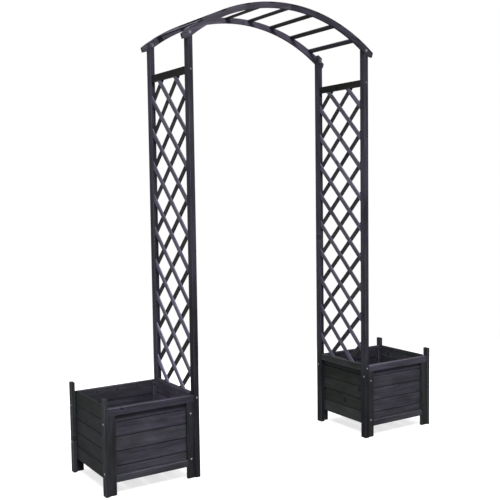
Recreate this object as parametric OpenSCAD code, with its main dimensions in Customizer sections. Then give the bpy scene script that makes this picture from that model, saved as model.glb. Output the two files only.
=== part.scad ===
// Garden arch: two lattice towers on planter boxes, joined by two arch beams with flat rungs.
// X runs across the passage, Y from front to back, Z up; the origin is on the ground in the middle.
// Every piece is drawn at the left front corner and mirrored to its own corner. Only the rails and
// slats of a tower aren't mirrored: both towers are the same trellis, facing the same way.

/* [Passage and towers] */
// Clear width of the passage between the towers
passage_w = 933; // [700:1:1100]
// Depth over the front and rear posts
tower_d = 392; // [300:2:520]
// Thickness of a post, measured across the passage
post_t = 22; // [18:1:36]
// Width of a post, measured from front to back
post_w = 35; // [28:1:45]
// Height of a tower's top rail and base rail
rail_h = 32; // [25:1:60]
// Drop from the beam's underside to the tower's top rail
top_rail_drop = 122; // [20:2:300]

/* [Lattice] */
// Width of a lattice slat
slat_w = 22; // [14:1:34]
// Thickness of a lattice slat; a tower's rails are as thick as two slats
slat_t = 6; // [5.5:0.5:8]
// Rise from one crossing to the next, up the middle of a tower
lattice_step = 148; // [90:2:240]
// Height of the middle crossing above the middle of the opening between the rails
lattice_rise = 4.5; // [-40:0.5:40]
// From the middle of a tower towards the rear, to the column of crossings
lattice_shift = 8; // [-30:1:30]
// Lean of the slats from the vertical
lattice_lean = 45.5; // [30:0.5:60]
// Depth of the groove in the posts that holds the slats
groove_depth = 5; // [3:0.5:10]
// From a post's left face to the groove and the tower's rails
lattice_setback = 5; // [2:0.5:12]

/* [Arch] */
// Overall height
arch_h = 2057; // [1900:1:2300]
// Radius of the outer contour
outer_r = 836; // [780:2:1000]
// Radius of the beams' underside
inner_r = 771; // [700:1:840]
// Depth of a beam at the crown
crown_depth = 26; // [22:0.5:60]
// Thickness of a beam from front to back
beam_t = 12; // [10:1:24]
// How far a beam stands proud of the posts that it is let into
beam_proud = 1; // [0:0.5:8]
// How far a beam's end stands out past the post
beam_overhang = 30; // [20:1:60]
// Length of the slanted cut at a beam's end
end_cut = 22.5; // [16:0.5:34]
// Lean of that end cut from the vertical
end_lean = 17; // [0:1:30]
// Slope of the straight underside between end cut and arc
tail_slope = 16.6; // [10:0.2:24]
// Length of the half lap at the crown
lap_l = 72; // [40:2:86]

/* [Rungs] */
// Width of a rung
rung_w = 26; // [18:1:40]
// Thickness of a rung
rung_t = 7; // [5:1:16]
// Angle from one rung to the next, about the outer contour's centre
rung_step = 8.85; // [6:0.05:9]
// Rungs on each side of the crown
rungs_per_side = 4; // [2:1:4]

/* [Planters] */
// Length of a planter, from the passage to its outer end
planter_l = 434; // [320:2:600]
// Height of the planter's rim
rim_h = 364.5; // [345:0.5:460]
// Height of the legs at the outer end
leg_h = 401; // [390:1:480]
// Thickness of a leg
leg_t = 15; // [10:1:24]
// Width of a leg, measured from front to back
leg_w = 31; // [24:1:45]
// Set back of the panel frames behind the posts and legs
frame_setback = 6; // [2:1:8]
// Thickness of the panel frames
frame_t = 14; // [12:1:18]
// Width of a stile
stile_w = 35; // [28:1:45]
// Height of a panel's top rail, which lies on the stiles
panel_top_h = 30; // [24:1:45]
// Height of a panel's bottom rail
panel_bottom_h = 28; // [26:1:45]
// How far the bottom rail hangs below the boards
bottom_rail_hang = 2.5; // [0:0.5:4]

/* [Boards and floor] */
// Width of a board
board_w = 59.5; // [50:0.5:64]
// Thickness of a board
board_t = 12; // [10:1:18]
// Gap between two boards
board_gap = 1.5; // [0.5:0.5:4]
// Boards in each wall
board_count = 5; // [4:1:5]
// Drop from the rim to the top of the front and rear walls
board_drop = 6; // [0:1:12]
// Side of a corner batten and of a floor bearer
batten_w = 18; // [16:1:28]
// Drop from the rim to the top of a corner batten
batten_drop = 12; // [4:1:14]
// Rise of the floor bearers above the bottom of the front boards
floor_rise = 5.5; // [0:0.5:8]
// Thickness of a floor slat
floor_t = 12; // [8:1:16]
// Floor slats in each planter
floor_count = 4; // [3:1:6]
// Drain gap between two floor slats
floor_gap = 8; // [6:0.5:16]

/* [Fasteners] */
// Diameter of a wood screw's head
screw_head_d = 8; // [7:0.5:10]
// Depth of a wood screw's countersunk head
screw_head_h = 2.4; // [2:0.1:4]
// Diameter of a wood screw's shank
screw_d = 4; // [3:0.5:4.5]
// Clearance around a screw's shank or a bolt
hole_clearance = 0.2; // [0.1:0.05:0.4]
// Drop from the top of a board to its screws
screw_drop = 15; // [10:1:17]
// Height of the screw from the post into the inner stile
stile_screw_z = 307; // [190:1:312]
// Heights of the screws from a front leg into the outer stile
front_leg_screw_z = [95, 299];
// Heights of the screws from a rear leg into the outer stile
rear_leg_screw_z = [135, 299];
// Depth that a screw bites into the last piece
screw_bite = 10; // [8:0.5:10]
// Wood left beyond the end of a screw
screw_end_gap = 4; // [2:0.5:6]
// Depth that a screw bites into the end of a rail
end_bite = 32; // [20:1:50]
// Diameter of a coach bolt's shank
bolt_d = 6; // [5:0.5:8]
// Diameter of a coach bolt's domed head
bolt_head_d = 14; // [14:0.5:22]
// Height of that head
bolt_head_h = 3.5; // [2.5:0.5:5]
// Length of the square neck below that head
bolt_neck_l = 4; // [2:0.5:6]
// How far the bolt stands out of its nut
bolt_stand_out = 3; // [1:0.5:8]
// Diameter of a washer
washer_d = 18; // [16:0.5:22]
// Thickness of a washer
washer_t = 1.6; // [1:0.2:3]
// Width of a nut across its flats
nut_w = 10; // [9:0.5:14]
// Height of a nut
nut_h = 5; // [4:0.5:8]

/* [Hidden] */
$fn = 48;
// Bevel along the edges of sawn timber
edge = 0.8;
// Overrun of a cut past the face that it opens
over = 1;
// Recess for the driver in a screw's head
recess_l = 4.6;
recess_w = 1;
recess_h = 1.2;
// Pointed end of a screw
tip_l = 5;
tip_d = 0.6;

stain = "#46434f";
stain_light = "#5d586f";
steel = "#c9c9cf";

// Spans are pairs of a low and a high limit, for the left front corner
post_x = [-passage_w / 2 - post_t, -passage_w / 2];
post_y = [-tower_d / 2, -tower_d / 2 + post_w];
rail_x = [post_x[0] + lattice_setback, post_x[0] + lattice_setback + 2 * slat_t];
leg_x = [post_x[1] - planter_l, post_x[1] - planter_l + leg_t];
leg_y = [post_y[0], post_y[0] + leg_w];
frame_y = [post_y[0] + frame_setback, post_y[0] + frame_setback + frame_t];
inner_stile_x = [post_x[0] - stile_w, post_x[0]];
outer_stile_x = [leg_x[1], leg_x[1] + stile_w];

// Boards and floor
board_pitch = board_w + board_gap;
board_stack = board_count * board_pitch - board_gap;
wall_x = [leg_x[1], post_x[0]];
long_board_y = [frame_y[1], frame_y[1] + board_t];
long_board_top = rim_h - board_drop;
panel_top_z = [long_board_top - panel_top_h, long_board_top];
side_board_x = [leg_x[1], leg_x[1] + board_t];
passage_board_x = [post_x[0] - board_t, post_x[0]];
side_board_y = [long_board_y[1], -long_board_y[1]];
panel_bottom_x = [outer_stile_x[1], inner_stile_x[0]];
panel_bottom_low = long_board_top - board_stack - bottom_rail_hang;
panel_bottom_z = [panel_bottom_low, panel_bottom_low + panel_bottom_h];
inside_x = [side_board_x[1], passage_board_x[0]];
batten_y = [long_board_y[1], long_board_y[1] + batten_w];
outer_batten_x = [inside_x[0], inside_x[0] + batten_w];
inner_batten_x = [inside_x[1] - batten_w, inside_x[1]];
bearer_low = long_board_top - board_stack + floor_rise;
bearer_z = [bearer_low, bearer_low + batten_w];
floor_z = [bearer_z[1], bearer_z[1] + floor_t];
batten_z = [floor_z[1], rim_h - batten_drop];
floor_w = (inside_x[1] - inside_x[0] - (floor_count - 1) * floor_gap) / floor_count;
floor_pitch = floor_w + floor_gap;

// Arch
beam_y = [post_y[0] - beam_proud, post_y[0] - beam_proud + beam_t];
outer_cz = arch_h - outer_r;
inner_cz = arch_h - crown_depth - inner_r;
tip_x = -post_x[0] + beam_overhang;
tip_z = outer_cz + sqrt(outer_r * outer_r - tip_x * tip_x);
tail_x = tip_x - end_cut * sin(end_lean);
tail_z = tip_z - end_cut * cos(end_lean);
rung_angles = [for (i = [0:rungs_per_side - 1]) (i + 0.5) * rung_step];
rung_top_r = sqrt(outer_r * outer_r - rung_w * rung_w / 4);

function middle(span) = (span[0] + span[1]) / 2;
function outer_z(x) = outer_cz + sqrt(outer_r * outer_r - x * x);
function arc_under_z(x) = inner_cz + sqrt(inner_r * inner_r - x * x);
function tail_under_z(x) = tail_z + (tail_x - abs(x)) * tan(tail_slope);
function under_z(x) = max(arc_under_z(x), tail_under_z(x));

// Tower rails, lattice and bolts
top_rail_high = under_z(post_x[1]) - top_rail_drop;
top_rail_z = [top_rail_high - rail_h, top_rail_high];
base_rail_z = [rim_h - rail_h, rim_h];
rail_y = [post_y[1], -post_y[1]];
left_layer_x = [rail_x[0], middle(rail_x)];
right_layer_x = [middle(rail_x), rail_x[1]];
lattice_y = [post_y[1] - groove_depth, -post_y[1] + groove_depth];
lattice_z = [base_rail_z[1], top_rail_z[0]];
crossing_z = middle(lattice_z) + lattice_rise;
bolt_x = middle(post_x);
bolt_z = (outer_z(bolt_x) + under_z(bolt_x)) / 2;
bolt_grip = post_y[1] - beam_y[0];

// Screws, each as [place of the head, turn that points Z along the screw, length]
to_back = [-90, 0, 0];
to_front = [90, 0, 0];
to_right = [0, 90, 0];
to_left = [0, -90, 0];
downwards = [180, 0, 0];
gap_x = [for (i = [1:floor_count - 1]) inside_x[0] + i * floor_pitch - floor_gap / 2];
rail_screw_l = post_w + end_bite;
rail_screws = [for (z = [middle(base_rail_z), middle(top_rail_z)])
    [[middle(rail_x), post_y[0], z], to_back, rail_screw_l]];
stile_screw_l = post_t + stile_w - screw_end_gap;
stile_screws = [[[post_x[1], middle(frame_y), stile_screw_z], to_left, stile_screw_l]];
face_screw_z = [long_board_top - board_pitch - screw_drop, middle(floor_z)];
face_screw_l = frame_t + board_t + batten_w - screw_end_gap;
face_screws = [for (z = face_screw_z)
    [[middle(inner_stile_x), frame_y[0], z], to_back, face_screw_l]];
batten_screw_l = batten_w + board_t + screw_bite;
long_screw_z = [for (i = [0:board_count - 1]) long_board_top - i * board_pitch - screw_drop];
outer_batten_screws = [for (z = long_screw_z)
    [[middle(outer_batten_x), batten_y[1], z], to_front, batten_screw_l]];
inner_batten_screws = [for (i = [0:board_count - 1]) if (i != 1)
    [[middle(inner_batten_x), batten_y[1], long_screw_z[i]], to_front, batten_screw_l]];
side_screw_z = [for (i = [0:board_count - 1]) rim_h - i * board_pitch - screw_drop];
side_screw_l = batten_w + board_t - screw_end_gap;
side_board_screws = [for (z = side_screw_z)
    [[outer_batten_x[1], middle(batten_y), z], to_left, side_screw_l]];
passage_board_screws = [for (z = side_screw_z)
    [[inner_batten_x[0], middle(batten_y), z], to_right, side_screw_l]];
bearer_screws = [for (x = gap_x)
    [[x, batten_y[1], middle(bearer_z)], to_front, batten_screw_l]];
panel_screws = [for (x = gap_x)
    [[x, long_board_y[1], middle(panel_top_z)], to_front, board_t + screw_bite]];
floor_screws = [for (i = [0:floor_count - 1])
    [[inside_x[0] + i * floor_pitch + floor_w / 2, middle(batten_y), floor_z[1]],
        downwards, floor_t + batten_w - screw_end_gap]];

// Corners: side -1 is left and 1 is right, face -1 is front and 1 is rear
left = -1;
right = 1;
front = -1;
rear = 1;

module at_side(side) {
    mirror([side > 0 ? 1 : 0, 0, 0]) children();
}

module at_corner(side, face) {
    at_side(side) mirror([0, face > 0 ? 1 : 0, 0]) children();
}

module at_both_faces(side) {
    for (face = [front, rear]) at_corner(side, face) children();
}

// Moves what belongs to the left trellis to the given one, unmirrored
module at_trellis(side, face = front) {
    translate([side > 0 ? passage_w + post_t : 0, 0, 0]) at_corner(left, face) children();
}

// A plain block over three spans
module block(x, y, z) {
    translate([x[0], y[0], z[0]]) cube([x[1] - x[0], y[1] - y[0], z[1] - z[0]]);
}

// Section of sawn timber with small bevels
module section(w, h) {
    polygon([
        [edge, 0], [w - edge, 0], [w, edge], [w, h - edge],
        [w - edge, h], [edge, h], [0, h - edge], [0, edge]
    ]);
}

module bar_along_x(x, y, z) {
    translate([x[0], y[0], z[0]]) rotate([90, 0, 90])
        linear_extrude(x[1] - x[0]) section(y[1] - y[0], z[1] - z[0]);
}

module bar_along_y(x, y, z) {
    translate([x[0], y[1], z[0]]) rotate([90, 0, 0])
        linear_extrude(y[1] - y[0]) section(x[1] - x[0], z[1] - z[0]);
}

module bar_along_z(x, y, z) {
    translate([x[0], y[0], z[0]]) linear_extrude(z[1] - z[0]) section(x[1] - x[0], y[1] - y[0]);
}

// Countersunk wood screw, pointing along Z from its head's face
module wood_screw(l) {
    difference() {
        rotate_extrude() polygon([
            [0, 0], [screw_head_d / 2, 0], [screw_d / 2, screw_head_h],
            [screw_d / 2, l - tip_l], [tip_d / 2, l], [0, l]
        ]);
        for (turn = [0, 90]) rotate([0, 0, turn])
            translate([-recess_l / 2, -recess_w / 2, -over])
                cube([recess_l, recess_w, recess_h + over]);
    }
}

// Countersink and hole for that screw
module screw_hole(l) {
    hole_r = screw_d / 2 + hole_clearance;
    sink_h = screw_head_h * (screw_head_d / 2 - hole_r) / (screw_head_d / 2 - screw_d / 2);
    rotate_extrude() polygon([
        [0, -over], [screw_head_d / 2, -over], [screw_head_d / 2, 0], [hole_r, sink_h],
        [hole_r, l + hole_clearance], [0, l + hole_clearance]
    ]);
}

module screws_of(list) {
    for (item = list) translate(item[0]) rotate(item[1]) wood_screw(item[2]);
}

module holes_of(list) {
    for (item = list) translate(item[0]) rotate(item[1]) screw_hole(item[2]);
}

// Towers
// The waste above the arch's outer contour, over a post
module waste_above_post() {
    y = [post_y[0] - over, post_y[1] + over];
    difference() {
        block([post_x[0] - over, post_x[1] + over], y, [outer_cz, arch_h + over]);
        translate([0, y[1], outer_cz]) rotate([90, 0, 0])
            cylinder(h = y[1] - y[0], r = outer_r, $fn = 180);
    }
}

// Seat of the beam in a post, open above the arch's outer contour
module beam_seat() {
    beam_layer([post_y[0] - over, beam_y[1]], 0, outer_r + over);
}

module lattice_groove() {
    block(rail_x, [lattice_y[0], post_y[1] + over], lattice_z);
}

module bolt_hole() {
    translate([bolt_x, post_y[1] + over, bolt_z]) rotate([90, 0, 0])
        cylinder(h = bolt_grip + 2 * over, d = bolt_d + 2 * hole_clearance);
}

module post(side, face) {
    color(stain) difference() {
        at_corner(side, face) difference() {
            bar_along_z(post_x, post_y, [0, arch_h]);
            waste_above_post();
            beam_seat();
            bolt_hole();
            holes_of(stile_screws);
        }
        at_trellis(side, face) {
            lattice_groove();
            holes_of(rail_screws);
        }
    }
}

module tower_rail(side, z) {
    color(stain) at_trellis(side) difference() {
        bar_along_y(rail_x, rail_y, z);
        at_both_faces(left) holes_of(rail_screws);
    }
}

// One layer of slats; rise 1 climbs towards the rear and -1 towards the front
module lattice_layer(x, rise) {
    angle = 90 - lattice_lean;
    half_y = (lattice_y[1] - lattice_y[0]) / 2;
    slat_l = 2 * (half_y + abs(lattice_shift)) / cos(angle) + 2 * slat_w;
    corner = slat_w * (1 - sin(angle));
    climb = (half_y - rise * lattice_shift) * tan(angle) - corner;
    fall = (half_y + rise * lattice_shift) * tan(angle) - corner;
    first = ceil((lattice_z[0] - climb - crossing_z) / lattice_step);
    last = floor((lattice_z[1] + fall - crossing_z) / lattice_step);
    for (k = [first:last]) intersection() {
        translate([x[0], lattice_shift, crossing_z + k * lattice_step])
            rotate([rise * angle, 0, 0])
                bar_along_y([0, slat_t], [-slat_l / 2, slat_l / 2], [-slat_w / 2, slat_w / 2]);
        block([x[0] - over, x[1] + over], lattice_y, lattice_z);
    }
}

module left_layer(side) {
    color(stain_light) at_trellis(side) lattice_layer(left_layer_x, 1);
}

module right_layer(side) {
    color(stain_light) at_trellis(side) lattice_layer(right_layer_x, -1);
}

// Planters
function leg_screws(face) = [for (z = face > 0 ? rear_leg_screw_z : front_leg_screw_z)
    [[leg_x[0], middle(frame_y), z], to_right, leg_t + stile_w - screw_end_gap]];

module leg(side, face) {
    color(stain) at_corner(side, face) difference() {
        bar_along_z(leg_x, leg_y, [0, leg_h]);
        holes_of(leg_screws(face));
    }
}

module outer_stile(side, face) {
    color(stain) at_corner(side, face) difference() {
        bar_along_z(outer_stile_x, frame_y, [0, panel_top_z[0]]);
        holes_of(leg_screws(face));
        holes_of(outer_batten_screws);
    }
}

module inner_stile(side, face) {
    color(stain) at_corner(side, face) difference() {
        bar_along_z(inner_stile_x, frame_y, [0, panel_top_z[0]]);
        holes_of(stile_screws);
        holes_of(face_screws);
        holes_of(inner_batten_screws);
    }
}

module panel_top_rail(side, face) {
    color(stain_light) at_corner(side, face) difference() {
        bar_along_x(wall_x, frame_y, panel_top_z);
        holes_of(panel_screws);
        holes_of(outer_batten_screws);
        holes_of(inner_batten_screws);
    }
}

module panel_bottom_rail(side, face) {
    color(stain) at_corner(side, face) difference() {
        bar_along_x(panel_bottom_x, frame_y, panel_bottom_z);
        holes_of(bearer_screws);
    }
}

module long_boards(side, face) {
    color(stain) at_corner(side, face) difference() {
        for (i = [0:board_count - 1])
            bar_along_x(wall_x, long_board_y,
                [long_board_top - i * board_pitch - board_w, long_board_top - i * board_pitch]);
        holes_of(face_screws);
        holes_of(outer_batten_screws);
        holes_of(inner_batten_screws);
        holes_of(bearer_screws);
        holes_of(panel_screws);
    }
}

module short_boards(x) {
    for (i = [0:board_count - 1])
        bar_along_y(x, side_board_y, [rim_h - i * board_pitch - board_w, rim_h - i * board_pitch]);
}

module side_boards(side) {
    color(stain) at_side(side) difference() {
        short_boards(side_board_x);
        at_both_faces(left) holes_of(side_board_screws);
    }
}

module passage_boards(side) {
    color(stain) at_side(side) difference() {
        short_boards(passage_board_x);
        at_both_faces(left) holes_of(passage_board_screws);
    }
}

module corner_battens(side) {
    color(stain) at_both_faces(side) difference() {
        union() {
            bar_along_z(outer_batten_x, batten_y, batten_z);
            bar_along_z(inner_batten_x, batten_y, batten_z);
        }
        holes_of(face_screws);
        holes_of(outer_batten_screws);
        holes_of(inner_batten_screws);
        holes_of(side_board_screws);
        holes_of(passage_board_screws);
    }
}

module floor_bearers(side) {
    color(stain) at_both_faces(side) difference() {
        bar_along_x(inside_x, batten_y, bearer_z);
        holes_of(bearer_screws);
        holes_of(floor_screws);
    }
}

module floor_slats(side) {
    color(stain) at_side(side) difference() {
        for (i = [0:floor_count - 1])
            bar_along_y([inside_x[0] + i * floor_pitch, inside_x[0] + i * floor_pitch + floor_w],
                side_board_y, floor_z);
        at_both_faces(left) holes_of(floor_screws);
        at_both_faces(left) holes_of(face_screws);
    }
}

module screws(side) {
    color(steel) for (face = [front, rear]) {
        at_trellis(side, face) screws_of(rail_screws);
        at_corner(side, face) planter_screws(face);
    }
}

module planter_screws(face) {
    screws_of(stile_screws);
    screws_of(face_screws);
    screws_of(leg_screws(face));
    screws_of(outer_batten_screws);
    screws_of(inner_batten_screws);
    screws_of(side_board_screws);
    screws_of(passage_board_screws);
    screws_of(bearer_screws);
    screws_of(panel_screws);
    screws_of(floor_screws);
}

// Arch
// Outline of a beam from its left end to the given reach, under a contour of radius r
module beam_outline(reach, r) {
    tail_top = tail_z + tail_x * tan(tail_slope);
    end_h = arch_h - tail_z;
    end_x = tail_x + end_h * tan(end_lean);
    difference() {
        intersection() {
            translate([0, outer_cz]) circle(r = r, $fn = 180);
            polygon([[-tail_x, tail_z], [0, tail_top], [tail_x, tail_z],
                [end_x, arch_h + over], [-end_x, arch_h + over]]);
            translate([-end_x - over, outer_cz]) square([end_x + over + reach, r + over]);
        }
        translate([0, inner_cz]) circle(r = inner_r, $fn = 180);
    }
}

module beam_layer(y, reach, r = outer_r) {
    translate([0, y[1], 0]) rotate([90, 0, 0]) linear_extrude(y[1] - y[0]) beam_outline(reach, r);
}

module rung_blocks(y, low_r, high_r) {
    for (angle = rung_angles) translate([0, 0, outer_cz]) rotate([0, -angle, 0])
        block([-rung_w / 2, rung_w / 2], y, [low_r, high_r]);
}

// Square pocket and hole of the coach bolt, and notches for the rungs
module beam_cuts() {
    bolt_hole();
    translate([bolt_x - bolt_d / 2, beam_y[0] - over, bolt_z - bolt_d / 2])
        cube([bolt_d, bolt_neck_l + over, bolt_d]);
    rung_blocks([beam_y[0] - over, beam_y[1] + over], rung_top_r - rung_t, outer_r + over);
}

// Left half of the front beam; its lap is in the outer or the inner half of the thickness
module beam_half(lap_outside) {
    split_y = middle(beam_y);
    long_reach = lap_l / 2;
    difference() {
        union() {
            beam_layer([beam_y[0], split_y], lap_outside ? long_reach : -long_reach);
            beam_layer([split_y, beam_y[1]], lap_outside ? -long_reach : long_reach);
        }
        beam_cuts();
    }
}

module front_left_beam() {
    color(stain_light) beam_half(true);
}

module front_right_beam() {
    color(stain_light) at_corner(right, front) beam_half(false);
}

module rear_left_beam() {
    color(stain_light) at_corner(left, rear) beam_half(false);
}

module rear_right_beam() {
    color(stain_light) at_corner(right, rear) beam_half(true);
}

module rungs(side) {
    color(stain) at_side(side)
        for (angle = rung_angles) translate([0, 0, outer_cz]) rotate([0, -angle, 0])
            bar_along_y([-rung_w / 2, rung_w / 2], [beam_y[0], -beam_y[0]],
                [rung_top_r - rung_t, rung_top_r]);
}

module at_bolts(y) {
    for (side = [left, right]) at_both_faces(side)
        translate([bolt_x, y, bolt_z]) rotate(to_back) children();
}

module coach_bolt() {
    dome_r = (bolt_head_d * bolt_head_d / 4 + bolt_head_h * bolt_head_h) / (2 * bolt_head_h);
    shank_l = bolt_grip + washer_t + nut_h + bolt_stand_out;
    intersection() {
        translate([0, 0, dome_r - bolt_head_h]) sphere(r = dome_r);
        translate([-bolt_head_d, -bolt_head_d, -2 * bolt_head_h])
            cube([2 * bolt_head_d, 2 * bolt_head_d, 2 * bolt_head_h]);
    }
    translate([-bolt_d / 2, -bolt_d / 2, 0]) cube([bolt_d, bolt_d, bolt_neck_l]);
    cylinder(h = shank_l, d = bolt_d);
}

module bolts() {
    color(steel) at_bolts(beam_y[0]) coach_bolt();
}

module washers() {
    color(steel) at_bolts(post_y[1]) difference() {
        cylinder(h = washer_t, d = washer_d);
        translate([0, 0, -over]) cylinder(h = washer_t + 2 * over, d = bolt_d + 2 * hole_clearance);
    }
}

module nuts() {
    color(steel) at_bolts(post_y[1] + washer_t) difference() {
        cylinder(h = nut_h, d = nut_w / cos(30), $fn = 6);
        translate([0, 0, -over]) cylinder(h = nut_h + 2 * over, d = bolt_d);
    }
}

post(left, front);  // left_front_post
post(left, rear);  // left_rear_post
tower_rail(left, top_rail_z);  // left_tower_top_rail
tower_rail(left, base_rail_z);  // left_tower_base_rail
left_layer(left);  // left_lattice_outer_slats
right_layer(left);  // left_lattice_inner_slats
leg(left, front);  // left_front_leg
leg(left, rear);  // left_rear_leg
outer_stile(left, front);  // left_front_outer_stile
inner_stile(left, front);  // left_front_inner_stile
outer_stile(left, rear);  // left_rear_outer_stile
inner_stile(left, rear);  // left_rear_inner_stile
panel_top_rail(left, front);  // left_front_top_rail
panel_top_rail(left, rear);  // left_rear_top_rail
panel_bottom_rail(left, front);  // left_front_bottom_rail
panel_bottom_rail(left, rear);  // left_rear_bottom_rail
long_boards(left, front);  // left_front_boards
long_boards(left, rear);  // left_rear_boards
side_boards(left);  // left_side_boards
passage_boards(left);  // left_passage_boards
corner_battens(left);  // left_corner_battens
floor_bearers(left);  // left_floor_bearers
floor_slats(left);  // left_floor_slats
screws(left);  // left_screws
post(right, front);  // right_front_post
post(right, rear);  // right_rear_post
tower_rail(right, top_rail_z);  // right_tower_top_rail
tower_rail(right, base_rail_z);  // right_tower_base_rail
right_layer(right);  // right_lattice_outer_slats
left_layer(right);  // right_lattice_inner_slats
leg(right, front);  // right_front_leg
leg(right, rear);  // right_rear_leg
outer_stile(right, front);  // right_front_outer_stile
inner_stile(right, front);  // right_front_inner_stile
outer_stile(right, rear);  // right_rear_outer_stile
inner_stile(right, rear);  // right_rear_inner_stile
panel_top_rail(right, front);  // right_front_top_rail
panel_top_rail(right, rear);  // right_rear_top_rail
panel_bottom_rail(right, front);  // right_front_bottom_rail
panel_bottom_rail(right, rear);  // right_rear_bottom_rail
long_boards(right, front);  // right_front_boards
long_boards(right, rear);  // right_rear_boards
side_boards(right);  // right_side_boards
passage_boards(right);  // right_passage_boards
corner_battens(right);  // right_corner_battens
floor_bearers(right);  // right_floor_bearers
floor_slats(right);  // right_floor_slats
screws(right);  // right_screws
front_left_beam();
front_right_beam();
rear_left_beam();
rear_right_beam();
rungs(left);  // left_rungs
rungs(right);  // right_rungs
bolts();
washers();
nuts();
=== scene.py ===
"""Garden arch with two planters: stained softwood and zinc plated fasteners on the CAD frame."""
import math

import bpy
from mathutils import Matrix, Vector


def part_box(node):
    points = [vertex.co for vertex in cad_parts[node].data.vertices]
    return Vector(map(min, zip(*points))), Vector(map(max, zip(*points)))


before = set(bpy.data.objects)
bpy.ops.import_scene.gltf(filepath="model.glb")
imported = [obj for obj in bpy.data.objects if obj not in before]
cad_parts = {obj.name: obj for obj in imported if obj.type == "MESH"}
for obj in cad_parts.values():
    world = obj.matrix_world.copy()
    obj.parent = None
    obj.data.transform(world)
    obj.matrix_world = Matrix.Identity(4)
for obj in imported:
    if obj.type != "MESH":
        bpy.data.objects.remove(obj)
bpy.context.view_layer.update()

MM = 0.001

# Camera, fitted to the photograph
CAMERA_PLACE = (-2124.8 * MM, -3197.0 * MM, 1228.5 * MM)
CAMERA_YAW = math.radians(32.710)
CAMERA_PITCH = math.radians(-4.202)
CAMERA_ROLL = math.radians(-0.787)
CAMERA_LENS = 58.46
SENSOR_WIDTH = 36.0

# Stains, as linear colours: a main one and a second one that shows in patches
VIOLET = ((0.055, 0.051, 0.069), (0.046, 0.046, 0.055))
RAIL = ((0.033, 0.031, 0.043), (0.026, 0.027, 0.032))
POST = ((0.043, 0.040, 0.055), (0.036, 0.035, 0.044))
FOOT = ((0.017, 0.017, 0.022), (0.015, 0.016, 0.018))
STILE = ((0.026, 0.026, 0.033), (0.022, 0.024, 0.026))
LEG = ((0.032, 0.033, 0.037), (0.027, 0.030, 0.030))
SIDE = ((0.017, 0.018, 0.021), (0.015, 0.017, 0.016))
OLIVE = ((0.029, 0.031, 0.031), (0.024, 0.028, 0.024))
# A darker copy of the olive stain: painted shade on the tower top rails
SHADED_RAIL = ((0.013, 0.014, 0.013), (0.011, 0.013, 0.011))
# The next three are lit and shaded copies of one slat stain: painted light on one layer of slats,
# brighter painted light at the foot of the left outer slats, and painted shade on the other layer
LIT_SLAT = ((0.090, 0.082, 0.116), (0.073, 0.070, 0.088))
BRIGHTEST_LIT_SLAT = ((0.134, 0.120, 0.178), (0.108, 0.101, 0.132))
SHADE_SLAT = ((0.031, 0.032, 0.038), (0.029, 0.033, 0.030))
BEAM = ((0.076, 0.067, 0.097), (0.061, 0.056, 0.073))
RUNG = ((0.022, 0.024, 0.025), (0.024, 0.027, 0.022))

# Batches of stain: the first row whose words are all in a node's name holds
STAIN_ROWS = (
    # The slat rows give one layer of slats painted light and the other painted shade
    (("left_lattice_outer",), LIT_SLAT),
    (("right_lattice_inner",), LIT_SLAT),
    (("lattice",), SHADE_SLAT),
    (("front_right_beam",), POST),
    (("beam",), BEAM),
    (("rungs",), RUNG),
    (("post",), POST),
    (("left", "stile"), STILE),
    (("stile",), LEG),
    (("leg",), LEG),
    (("right_side_boards",), LEG),
    (("side_boards",), SIDE),
    (("rear_boards",), POST),
    (("left_passage_boards",), BEAM),
    # Painted shade on the tower top rails
    (("tower_top_rail",), SHADED_RAIL),
    (("tower",), OLIVE),
    (("right_passage_boards",), OLIVE),
    (("left", "top_rail"), RAIL),
    ((), VIOLET),
)

# Other linear colours
WORN_EDGE = (0.15, 0.14, 0.22)
# Colour of the painted shade between boards and of the painted shadow under rails
DEEP_SHADE = (0.004, 0.004, 0.005)
ZINC = (0.30, 0.30, 0.33)
DULL_ZINC = (0.15, 0.15, 0.18)
STAINED_ZINC = (0.05, 0.045, 0.055)

# Tints that multiply the stain
KNOT_HEART = (0.52, 0.53, 0.52)
KNOT_RIM = (0.34, 0.35, 0.35)
KNOT_HALO = (1.20, 1.22, 1.18)
END_GRAIN = (0.60, 0.60, 0.62)

# Sizes and counts of the pieces that repeat in one node, in metres
BOARD_COUNT = 5
BOARD_GAP = 1.5 * MM
FLOOR_COUNT = 4
FLOOR_GAP = 8 * MM
LATTICE_STEP = 148 * MM
LATTICE_SLOPE = math.radians(44.5)
RUNG_SPACING = 120 * MM
BEAM_LEAN = math.radians(18)

# Inside of the planters, as distances from the passage's middle in metres
INSIDE_X = (0.495, 0.880)
INSIDE_Y = 0.165

# Painted shade between boards and painted shadow under rails: reach in metres, and share at its
# darkest
SEAM_SHADE_REACH = 2.5 * MM
SEAM_SHADE_SHARE = 0.85
RAIL_SHADOW_REACH = 24 * MM
RAIL_SHADOW_DARKEST = 3 * MM
RAIL_SHADOW_SHARE = 0.66

# Heights between which the stain at the foot turns to the stain above, in metres
POST_FADE = (0.26, 0.44)
LEFT_POST_FADE = (0.20, 1.45)
# For the left outer slats, from brighter painted light at the foot to the painted light above
SLAT_FADE = (0.45, 1.35)

# Knots: cells of the scatter per metre, share of the cells that hold one, radii in metres
KNOT_CELLS = 7.0
KNOTS = 0.12
LATTICE_KNOTS = 0.10
FRONT_BOARD_KNOTS = 0.15
SIDE_BOARD_KNOTS = 0.85
BOARD_KNOTS = 0.50
KNOT_R = 6 * MM
KNOT_R_SPREAD = 5 * MM

# Year rings, in metres: how far knots push them and how far they wander
RING_PITCH = 0.0042
KNOT_PUSH = 8 * MM
RING_WANDER = 30 * MM

# Place of the pith beside a piece, in metres, and its lean; each piece draws its own
PITH_SHIFT = 50 * MM
PITH_DEPTH = 12 * MM
PITH_DEPTH_SPREAD = 30 * MM
PITH_LEAN = 0.16

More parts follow.
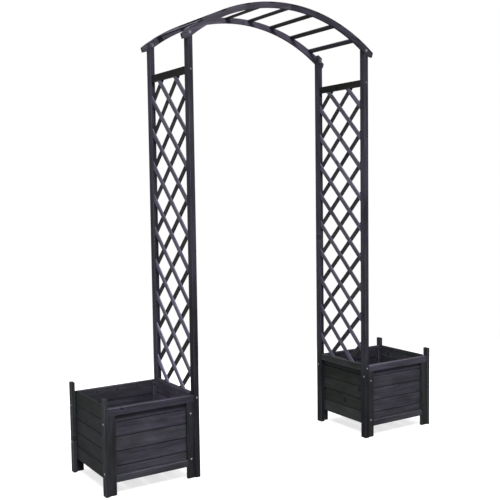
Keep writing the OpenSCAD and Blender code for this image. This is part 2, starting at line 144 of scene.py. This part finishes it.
# Tone of a piece, relief and sheen of timber
TONE_LOW = 0.86
TONE_SPREAD = 0.28
WEAR = 0.6
RELIEF = 0.5 * MM
RELIEF_STRENGTH = 0.7
TIMBER_SPECULAR = 0.06

# Seeds of the nodes, in the order of their names
FIRST_SEED = 1.3
SEED_STEP = 3.7

# Floor and sky: shaded within the first distance of FLOOR_ENDS, plain white beyond the second
SKY_FILL = 0.50
FLOOR_BOUNCE = 0.18
FLOOR_LIFT = 0.72
FLOOR_TONE = 0.50
FLOOR_REACH = 40.0
FLOOR_SQUEEZE = (0.6, 1.0, 1.0)
FLOOR_ENDS = (1.0, 2.6)

# Soft boxes: place, target, width in metres and power in watts
SOFT_BOXES = {
    "key": ((-2.4, -3.9, 6.3), (0, 0, 1.0), 2.2, 520),
    "top": ((0.0, 0.0, 7.0), (0, 0, 0.0), 3.0, 420),
    "rim": ((3.6, 3.4, 4.6), (0, 0, 1.0), 3.0, 120),
}

METAL_NODES = ("left_screws", "right_screws", "bolts", "washers", "nuts")


# Node building
class Graph:
    """Builds nodes in one tree; every value may be a number, a tuple or another node's socket."""

    def __init__(self, tree):
        self.tree = tree

    def node(self, kind, **settings):
        made = self.tree.nodes.new(kind)
        for key, value in settings.items():
            setattr(made, key, value)
        return made

    def feed(self, socket, value):
        if isinstance(value, bpy.types.NodeSocket):
            self.tree.links.new(value, socket)
        else:
            if socket.type == "RGBA" and len(value) == 3:
                value = (*value, 1.0)
            socket.default_value = value

    def object_place(self):
        return self.node("ShaderNodeTexCoord").outputs["Object"]

    def math(self, operation, *values):
        made = self.node("ShaderNodeMath", operation=operation)
        for socket, value in zip(made.inputs, values):
            self.feed(socket, value)
        return made.outputs[0]

    def vector(self, operation, *values):
        made = self.node("ShaderNodeVectorMath", operation=operation)
        for socket, value in zip(made.inputs, values):
            self.feed(socket, value)
        return made.outputs["Value" if operation in ("DOT_PRODUCT", "LENGTH") else "Vector"]

    def split(self, value):
        made = self.node("ShaderNodeSeparateXYZ")
        self.feed(made.inputs[0], value)
        return made.outputs

    def join(self, x, y, z):
        made = self.node("ShaderNodeCombineXYZ")
        for socket, value in zip(made.inputs, (x, y, z)):
            self.feed(socket, value)
        return made.outputs[0]

    def on_axes(self, value, axes):
        """The vector's parts along three axes."""
        return self.join(*(self.vector("DOT_PRODUCT", value, axis) for axis in axes))

    def noise(self, place, stretch, detail=3.0, roughness=0.55):
        """Noise between 0 and 1 whose grain has the given number of features per metre."""
        made = self.node("ShaderNodeTexNoise")
        self.feed(made.inputs["Vector"], self.vector("MULTIPLY", place, stretch))
        made.inputs["Scale"].default_value = 1.0
        made.inputs["Detail"].default_value = detail
        made.inputs["Roughness"].default_value = roughness
        return made.outputs

    def ease(self, value, low, high, to_low=0.0, to_high=1.0):
        """Smooth step of value from low to high, put out between to_low and to_high."""
        made = self.node("ShaderNodeMapRange", interpolation_type="SMOOTHSTEP")
        for name, number in zip(("Value", "From Min", "From Max", "To Min", "To Max"),
                                (value, low, high, to_low, to_high)):
            self.feed(made.inputs[name], number)
        return made.outputs[0]

    def mix(self, share, first, second):
        made = self.node("ShaderNodeMix", data_type="RGBA", blend_type="MIX")
        self.feed(made.inputs[0], share)
        self.feed(made.inputs[6], first)
        self.feed(made.inputs[7], second)
        return made.outputs[2]


def new_group(name, inputs, outputs):
    """A node group with named sockets; returns it with a Graph, its inputs and its outputs."""
    tree = bpy.data.node_groups.new(name, "ShaderNodeTree")
    for direction, sockets in (("INPUT", inputs), ("OUTPUT", outputs)):
        for label, kind in sockets:
            tree.interface.new_socket(name=label, in_out=direction, socket_type=f"NodeSocket{kind}")
    graph = Graph(tree)
    taken = graph.node("NodeGroupInput").outputs
    given = graph.node("NodeGroupOutput").inputs
    return tree, graph, taken, given


def new_material(name):
    """A material with its Graph and its shader."""
    material = bpy.data.materials.new(name)
    material.use_nodes = True
    tree = material.node_tree
    return material, Graph(tree), tree.nodes["Principled BSDF"]


# Timber
def knot_masks(g, spot, share):
    """Heart, rim and halo of branches straight across the piece, in that share of the cells."""
    scatter = g.node("ShaderNodeTexVoronoi", voronoi_dimensions="2D", feature="F1")
    g.feed(scatter.inputs["Vector"], g.join(g.split(spot)[0], g.split(spot)[2], 0.0))
    scatter.inputs["Scale"].default_value = KNOT_CELLS
    far = g.math("DIVIDE", scatter.outputs["Distance"], KNOT_CELLS)
    cell = g.split(scatter.outputs["Color"])
    kept = g.math("LESS_THAN", cell[0], share)
    knot_r = g.math("MULTIPLY_ADD", cell[1], KNOT_R_SPREAD, KNOT_R)
    ragged = g.noise(spot, (160.0, 160.0, 160.0), 2.0)[0]
    reach = g.math("DIVIDE", far, g.math("MULTIPLY", knot_r, g.ease(ragged, 0.2, 0.8, 0.8, 1.2)))
    heart = g.math("MULTIPLY", kept, g.ease(reach, 0.75, 1.0, 1.0, 0.0))
    off_rim = g.math("MULTIPLY", g.math("SUBTRACT", reach, 1.0), 4.0)
    off_rim_squared = g.math("MULTIPLY", off_rim, off_rim)
    rim = g.math("MULTIPLY", kept, g.math("EXPONENT", g.math("MULTIPLY", off_rim_squared, -1.0)))
    halo = g.math("MULTIPLY", kept, g.ease(reach, 1.0, 3.4, 1.0, 0.0))
    return heart, rim, halo


def late_wood_mask(g, place, spot, draw, halo):
    """Year rings: wavy cylinders round a pith beside the piece, pushed aside by knots."""
    slow = g.noise(spot, (1.6, 9.0, 9.0), 2.0)[1]
    off_middle = g.vector("SUBTRACT", slow, (0.5, 0.5, 0.5))
    wander = g.vector("MULTIPLY", off_middle, (0.0, RING_WANDER, RING_WANDER))
    along, across, depth = g.split(g.vector("ADD", place, wander))
    lean = g.math("MULTIPLY", along, g.math("MULTIPLY_ADD", draw[2], PITH_LEAN, -PITH_LEAN / 2))
    pith_shift = g.math("MULTIPLY_ADD", draw[0], PITH_SHIFT, -PITH_SHIFT / 2)
    pith_drop = g.math("MULTIPLY_ADD", draw[1], PITH_DEPTH_SPREAD, PITH_DEPTH)
    pith_across = g.math("ADD", across, pith_shift)
    pith_depth = g.math("ADD", g.math("ADD", depth, lean), pith_drop)
    radius = g.vector("LENGTH", g.join(0.0, pith_across, pith_depth))
    pushed = g.math("MULTIPLY_ADD", halo, KNOT_PUSH, radius)
    ring_turn = g.math("MULTIPLY", pushed, 2.0 * math.pi / RING_PITCH)
    wave = g.math("MULTIPLY_ADD", g.math("SINE", ring_turn), 0.5, 0.5)
    return g.math("POWER", wave, 2.6)


def timber_group():
    """Stained softwood. Place is in metres with X along the grain, from the piece's own middle.

    Facing is the surface's direction on the same axes. Piece and Seed draw the piece's rings,
    knots and tone. Knots is the share of cells that hold a knot, Wear the strength of the pale
    bevels, and Shade that of the painted shade between boards and painted shadow under rails.
    """
    tree, g, taken, given = new_group(
        "stained_timber",
        [("Place", "Vector"), ("Facing", "Vector"), ("Piece", "Float"), ("Seed", "Float"),
         ("Stain", "Color"), ("Patch", "Color"), ("Knots", "Float"), ("Wear", "Float"),
         ("Shade", "Float")],
        [("Color", "Color"), ("Roughness", "Float"), ("Height", "Float")])
    place = taken["Place"]
    chance = g.node("ShaderNodeTexWhiteNoise", noise_dimensions="2D")
    g.feed(chance.inputs["Vector"], g.join(taken["Piece"], taken["Seed"], 0.0))
    draw = g.split(chance.outputs["Color"])
    spot = g.vector("ADD", place, g.vector("MULTIPLY", chance.outputs["Color"], (7.0, 7.0, 7.0)))
    heart, rim, halo = knot_masks(g, spot, taken["Knots"])
    late_wood = late_wood_mask(g, place, spot, draw, halo)

    # Streaks, blotches and patches of the stain
    fibre = g.noise(spot, (28.0, 640.0, 640.0), 2.0)[0]
    streak = g.noise(spot, (3.0, 85.0, 85.0), 4.0, 0.6)[0]
    blotch = g.noise(spot, (7.0, 22.0, 22.0), 3.0)[0]
    cloud = g.noise(spot, (1.8, 6.0, 6.0), 2.0)[0]
    tone = g.math("MULTIPLY_ADD", draw[1], TONE_SPREAD, TONE_LOW)
    for source, low, high in ((streak, 0.72, 1.30), (blotch, 0.74, 1.28), (fibre, 0.88, 1.12),
                              (late_wood, 1.05, 0.80)):
        tone = g.math("MULTIPLY", tone, g.ease(source, 0.25, 0.75, low, high))
    base = g.mix(g.ease(cloud, 0.40, 0.62), taken["Stain"], taken["Patch"])
    colour = g.vector("MULTIPLY", base, g.join(tone, tone, tone))
    for share, tint in ((halo, KNOT_HALO), (heart, KNOT_HEART), (rim, KNOT_RIM)):
        colour = g.mix(share, colour, g.vector("MULTIPLY", colour, tint))

    # Bevels wear pale, and end grain drinks more stain
    end_on, side_a, side_b = (g.math("ABSOLUTE", part) for part in g.split(taken["Facing"]))
    squarest = g.math("MAXIMUM", end_on, g.math("MAXIMUM", side_a, side_b))
    bevel = g.ease(squarest, 0.74, 0.95, 1.0, 0.0)
    rubbed = g.math("MULTIPLY", g.math("MULTIPLY", bevel, taken["Wear"]), g.ease(streak, 0.3, 0.62))
    colour = g.mix(rubbed, colour, WORN_EDGE)
    # Painted shade between boards and painted shadow under the top rails
    colour = g.mix(taken["Shade"], colour, DEEP_SHADE)
    end_grain = g.ease(end_on, 0.80, 0.98)
    g.feed(given["Color"], g.mix(end_grain, colour, g.vector("MULTIPLY", colour, END_GRAIN)))

    rough = g.math("ADD", g.ease(streak, 0.3, 0.7, 0.66, 0.80), g.math("MULTIPLY", end_grain, 0.15))
    g.feed(given["Roughness"], rough)
    relief = g.math("MULTIPLY_ADD", late_wood, 0.35, g.math("MULTIPLY", fibre, 0.45))
    relief = g.math("MULTIPLY_ADD", streak, 0.30, relief)
    relief = g.math("MULTIPLY_ADD", rim, -0.5, relief)
    g.feed(given["Height"], relief)
    return tree


STAINED_TIMBER = timber_group()


def timber(name, grain, seed, stains, middle, repeat=None, seam_gap=None, eaves=None, knots=KNOTS,
           wear=WEAR, foot_stains=None, foot_fade=POST_FADE):
    """A stained material whose grain runs along the given direction.

    middle is where the grain is measured from: the piece's middle, or a place in the first piece.
    repeat is (direction, pitch, first): pieces follow each other along direction, one per pitch,
    and first is where the first one starts. Each piece draws its own rings, knots and tone.
    seam_gap is the gap between boards, whose edges get painted shade. eaves is the
    height of the rail's underside, below which painted shadow darkens the boards' outer faces.
    foot_stains colour what is below the lower height in foot_fade, and stains what is above the
    higher one.
    """
    material, g, shader = new_material(name)
    spot = g.object_place()
    _, depth, height = g.split(spot)
    place = g.vector("SUBTRACT", spot, tuple(middle))
    piece = 0.0
    if repeat:
        direction, pitch, first = repeat
        reached = g.vector("DOT_PRODUCT", spot, tuple(direction))
        piece = g.math("FLOOR", g.math("DIVIDE", g.math("SUBTRACT", reached, first), pitch))
        step = tuple(part * pitch for part in direction)
        place = g.vector("SUBTRACT", place, g.vector("MULTIPLY", g.join(piece, piece, piece), step))
    along = Vector(grain).normalized()
    side = along.cross(Vector((0, 0, 1)) if abs(along.z) < 0.9 else Vector((1, 0, 0))).normalized()
    axes = [tuple(axis) for axis in (along, side, along.cross(side))]
    facing = g.node("ShaderNodeNewGeometry").outputs["True Normal"]
    if foot_stains:
        above = g.ease(height, *foot_fade)
        stains = [g.mix(above, low, high) for low, high in zip(foot_stains, stains)]
    shade = 0.0
    # Painted shade on the board edges beside each gap
    if seam_gap is not None:
        off_middle = g.math("ABSOLUTE", g.vector("DOT_PRODUCT", place, tuple(direction)))
        half = (pitch - seam_gap) / 2
        shade = g.ease(off_middle, half - SEAM_SHADE_REACH, half, 0.0, SEAM_SHADE_SHARE)
    # Painted shadow of the top rail on the boards' outer faces, darkening towards the rail's
    # underside
    if eaves is not None:
        outer = g.math("GREATER_THAN", g.math("ABSOLUTE", depth), abs(middle[1]))
        rail_shadow = g.ease(height, eaves - RAIL_SHADOW_REACH, eaves - RAIL_SHADOW_DARKEST, 0.0, RAIL_SHADOW_SHARE)
        shade = g.math("MAXIMUM", g.math("MULTIPLY", rail_shadow, outer), shade)
    group = g.node("ShaderNodeGroup", node_tree=STAINED_TIMBER)
    for label, value in (("Place", g.on_axes(place, axes)), ("Facing", g.on_axes(facing, axes)),
                         ("Piece", piece), ("Seed", seed), ("Stain", stains[0]),
                         ("Patch", stains[1]), ("Knots", knots), ("Wear", wear),
                         ("Shade", shade)):
        g.feed(group.inputs[label], value)
    bump = g.node("ShaderNodeBump")
    bump.inputs["Strength"].default_value = RELIEF_STRENGTH
    bump.inputs["Distance"].default_value = RELIEF
    g.feed(bump.inputs["Height"], group.outputs["Height"])
    g.feed(shader.inputs["Base Color"], group.outputs["Color"])
    g.feed(shader.inputs["Roughness"], group.outputs["Roughness"])
    g.feed(shader.inputs["Normal"], bump.outputs["Normal"])
    shader.inputs["Specular IOR Level"].default_value = TIMBER_SPECULAR
    return material


def zinc_plate():
    """Zinc plated steel with a fine dull mottle; heads inside the planters are stained over."""
    material, g, shader = new_material("zinc_plate")
    place = g.object_place()
    mottle = g.noise(place, (420.0, 420.0, 420.0), 3.0)[0]
    dull = g.noise(place, (1500.0, 1500.0, 1500.0), 2.0)[0]
    across, through, _ = (g.math("ABSOLUTE", part) for part in g.split(place))
    inside = g.math("MULTIPLY", g.math("GREATER_THAN", across, INSIDE_X[0]),
                    g.math("LESS_THAN", across, INSIDE_X[1]))
    inside = g.math("MULTIPLY", inside, g.math("LESS_THAN", through, INSIDE_Y))
    plated = g.mix(g.ease(mottle, 0.35, 0.7), ZINC, DULL_ZINC)
    g.feed(shader.inputs["Base Color"], g.mix(inside, plated, STAINED_ZINC))
    g.feed(shader.inputs["Roughness"], g.ease(dull, 0.3, 0.7, 0.28, 0.46))
    shader.inputs["Metallic"].default_value = 1.0
    return material


# Grain and repeats of each kind of piece
def stains_of(node):
    return next(stain for words, stain in STAIN_ROWS if all(word in node for word in words))


def board_knots(node):
    if "front" in node:
        return FRONT_BOARD_KNOTS
    return SIDE_BOARD_KNOTS if "side" in node else BOARD_KNOTS


def finish_of(node, seed):
    """The material of one timber node, with its grain and repeats from the node's own box."""
    low, high = (Vector(corner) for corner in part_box(node))
    middle = (low + high) / 2
    size = high - low
    settings = {"middle": middle, "seed": seed, "stains": stains_of(node)}
    if "boards" in node:
        pitch = (size.z + BOARD_GAP) / BOARD_COUNT
        settings["middle"] = Vector((middle.x, middle.y, low.z + pitch / 2))
        settings["repeat"] = ((0, 0, 1), pitch, low.z)
        settings["seam_gap"] = BOARD_GAP
        settings["wear"] = 0.0
        settings["knots"] = board_knots(node)
        grain = (1, 0, 0) if size.x > size.y else (0, 1, 0)
    elif "floor_slats" in node:
        pitch = (size.x + FLOOR_GAP) / FLOOR_COUNT
        settings["middle"] = Vector((low.x + pitch / 2, middle.y, middle.z))
        settings["repeat"] = ((1, 0, 0), pitch, low.x)
        grain = (0, 1, 0)
    elif "lattice" in node:
        climbs_back = ("outer" in node) == node.startswith("left")
        turn = 1 if climbs_back else -1
        grain = (0, math.cos(LATTICE_SLOPE) * turn, math.sin(LATTICE_SLOPE))
        across = Vector((0, -math.sin(LATTICE_SLOPE) * turn, math.cos(LATTICE_SLOPE)))
        pitch = LATTICE_STEP * math.cos(LATTICE_SLOPE)
        settings["repeat"] = (tuple(across), pitch, middle.dot(across) - pitch / 2)
        settings["knots"] = LATTICE_KNOTS
    elif "rungs" in node:
        side = -1 if node.startswith("left") else 1
        settings["middle"] = Vector((side * RUNG_SPACING / 2, 0, high.z))
        settings["repeat"] = ((side, 0, 0), RUNG_SPACING, 0.0)
        grain = (0, 1, 0)
    elif "beam" in node:
        side = -1 if "left" in node else 1
        grain = (math.cos(BEAM_LEAN), 0, -side * math.sin(BEAM_LEAN))
        settings["wear"] = 0.0
    elif "bearers" in node or "battens" in node:
        settings["middle"] = Vector((middle.x, low.y, middle.z))
        settings["repeat"] = ((0, 1, 0), size.y / 2, low.y)
        grain = (1, 0, 0) if "bearers" in node else (0, 0, 1)
    elif "tower" in node:
        grain = (0, 1, 0)
    elif "rail" in node:
        grain = (1, 0, 0)
    else:
        grain = (0, 0, 1)
    if "post" in node:
        settings["foot_stains"] = FOOT
        if node == "left_front_post":
            settings["foot_fade"] = LEFT_POST_FADE
    # Brighter painted light at the foot of the left outer slats
    if node == "left_lattice_outer_slats":
        settings["foot_stains"] = BRIGHTEST_LIT_SLAT
        settings["foot_fade"] = SLAT_FADE
    # Painted shadow under the top rail on the front and rear boards
    if node.endswith(("front_boards", "rear_boards")):
        settings["eaves"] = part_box("left_front_top_rail")[0][2]
    return timber(f"{node}_stain", grain, **settings)


zinc = zinc_plate()
for number, (name, piece) in enumerate(sorted(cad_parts.items())):
    seed = SEED_STEP * number + FIRST_SEED
    material = zinc if name in METAL_NODES else finish_of(name, seed)
    for slot in piece.material_slots:
        slot.material = material


# Stage, light and camera
def background_rays(g):
    """1 for camera, glossy and transmission rays, which all see the white background."""
    path = g.node("ShaderNodeLightPath").outputs
    seen = g.math("MAXIMUM", path["Is Camera Ray"], path["Is Glossy Ray"])
    return g.math("MAXIMUM", seen, path["Is Transmission Ray"])


def make_floor():
    """White towards the camera, lit round the object so that its shadow shows, then plain white.

    Other rays meet a darker floor, which keeps the undersides of rungs and rails dark.
    """
    mesh = bpy.data.meshes.new("floor")
    corners = [(-1, -1), (1, -1), (1, 1), (-1, 1)]
    mesh.from_pydata([(x * FLOOR_REACH, y * FLOOR_REACH, 0) for x, y in corners],
                     [], [(0, 1, 2, 3)])
    floor = bpy.data.objects.new("floor", mesh)
    bpy.context.scene.collection.objects.link(floor)
    material, g, shader = new_material("floor_white")
    seen = background_rays(g)
    off_middle = g.vector("LENGTH", g.vector("MULTIPLY", g.object_place(), FLOOR_SQUEEZE))
    far = g.ease(off_middle, *FLOOR_ENDS)
    lit = g.ease(far, 0.0, 1.0, FLOOR_TONE, 0.0)
    shade = g.math("MULTIPLY", g.math("SUBTRACT", 1.0, seen), FLOOR_BOUNCE)
    tone = g.math("MULTIPLY_ADD", seen, lit, shade)
    g.feed(shader.inputs["Base Color"], g.join(tone, tone, tone))
    shader.inputs["Roughness"].default_value = 1.0
    shader.inputs["Specular IOR Level"].default_value = 0.0
    shader.inputs["Emission Color"].default_value = (1.0, 1.0, 1.0, 1.0)
    lift = g.math("MULTIPLY", seen, g.ease(far, 0.0, 1.0, FLOOR_LIFT, 1.0))
    g.feed(shader.inputs["Emission Strength"], lift)
    mesh.materials.append(material)


def make_world():
    """Full white for the rays that see the background, and a dimmer white fill for the others."""
    world = bpy.data.worlds.new("studio")
    bpy.context.scene.world = world
    world.use_nodes = True
    g = Graph(world.node_tree)
    background = world.node_tree.nodes["Background"]
    background.inputs["Color"].default_value = (1.0, 1.0, 1.0, 1.0)
    g.feed(background.inputs["Strength"], g.ease(background_rays(g), 0.0, 1.0, SKY_FILL, 1.0))


def soft_box(name, place, target, width, power):
    data = bpy.data.lights.new(name, "AREA")
    data.shape = "SQUARE"
    data.size = width
    data.energy = power
    lamp = bpy.data.objects.new(name, data)
    bpy.context.scene.collection.objects.link(lamp)
    lamp.location = place
    lamp.rotation_euler = (Vector(target) - Vector(place)).to_track_quat("-Z", "Y").to_euler()
    lamp.visible_camera = False
    lamp.visible_glossy = False


def make_camera():
    data = bpy.data.cameras.new("camera")
    data.sensor_width = SENSOR_WIDTH
    data.lens = CAMERA_LENS
    camera = bpy.data.objects.new("camera", data)
    bpy.context.scene.collection.objects.link(camera)
    ahead = Vector((math.sin(CAMERA_YAW) * math.cos(CAMERA_PITCH),
                    math.cos(CAMERA_YAW) * math.cos(CAMERA_PITCH), math.sin(CAMERA_PITCH)))
    level = Vector((math.cos(CAMERA_YAW), -math.sin(CAMERA_YAW), 0))
    upright = level.cross(ahead)
    right = level * math.cos(CAMERA_ROLL) + upright * math.sin(CAMERA_ROLL)
    up = upright * math.cos(CAMERA_ROLL) - level * math.sin(CAMERA_ROLL)
    turn = Matrix((right, up, -ahead)).transposed()
    camera.matrix_world = Matrix.Translation(CAMERA_PLACE) @ turn.to_4x4()
    bpy.context.scene.camera = camera


make_floor()
make_world()
for name, (place, target, width, power) in SOFT_BOXES.items():
    soft_box(name, place, target, width, power)
make_camera()
bpy.context.scene.view_settings.view_transform = "Standard"
